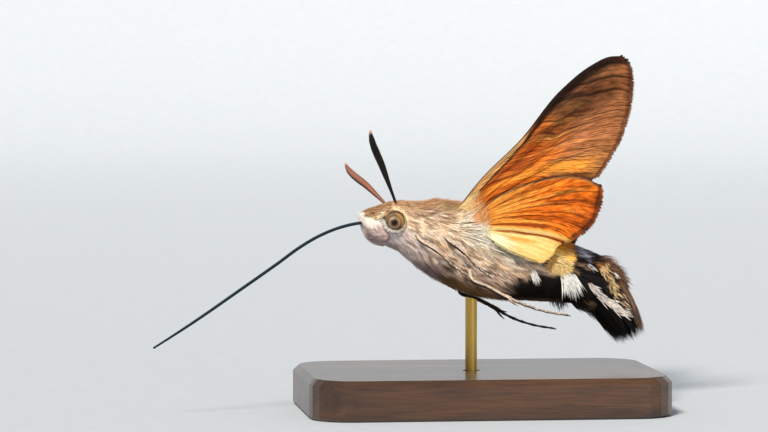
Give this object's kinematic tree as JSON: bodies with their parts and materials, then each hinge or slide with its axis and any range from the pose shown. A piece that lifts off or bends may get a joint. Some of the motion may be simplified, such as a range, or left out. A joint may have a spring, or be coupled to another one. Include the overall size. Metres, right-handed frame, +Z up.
{
  "type": "hummingbird hawk moth",
  "caption": "Life-size hovering hawk moth with a long feeding tube, raised wings and a fanned tail brush, held over a small plinth by a rod.",
  "frame": {"origin": "centre of the underside of the stand's base, where it meets the table", "axes": "+X from the moth's head to its tail along the base's long side, +Z up, the moth's left side towards -Y"},
  "size_m": [0.0511, 0.0269, 0.0354],
  "materials": {
    "coat": "soft scaly fur",
    "tail_coat": "long flat scales",
    "eye": "glossy, finely faceted",
    "feeler": "dark chitin with fine scales",
    "forewing": "scaled membrane",
    "hindwing": "scaled membrane",
    "leg": "scaled chitin with pale bands",
    "stand_wood": "dark satin varnish",
    "stand_metal": "brushed"
  },
  "bodies": {
    "root": {"head": "coat", "eye_left": "eye", "eye_right": "eye", "palp_left": "coat", "palp_right": "coat", "antenna_left": "feeler", "antenna_right": "feeler", "proboscis": "feeler", "thorax": "coat", "abdomen": "coat", "tail_fan": "tail_coat", "forewing_left": "forewing", "forewing_right": "forewing", "hindwing_left": "hindwing", "hindwing_right": "hindwing", "foreleg_left": "leg", "foreleg_right": "leg", "midleg_left": "leg", "midleg_right": "leg", "hindleg_left": "leg", "hindleg_right": "leg", "stand_base": "stand_wood", "stand_rod": "stand_metal"}
  },
  "joints": []
}
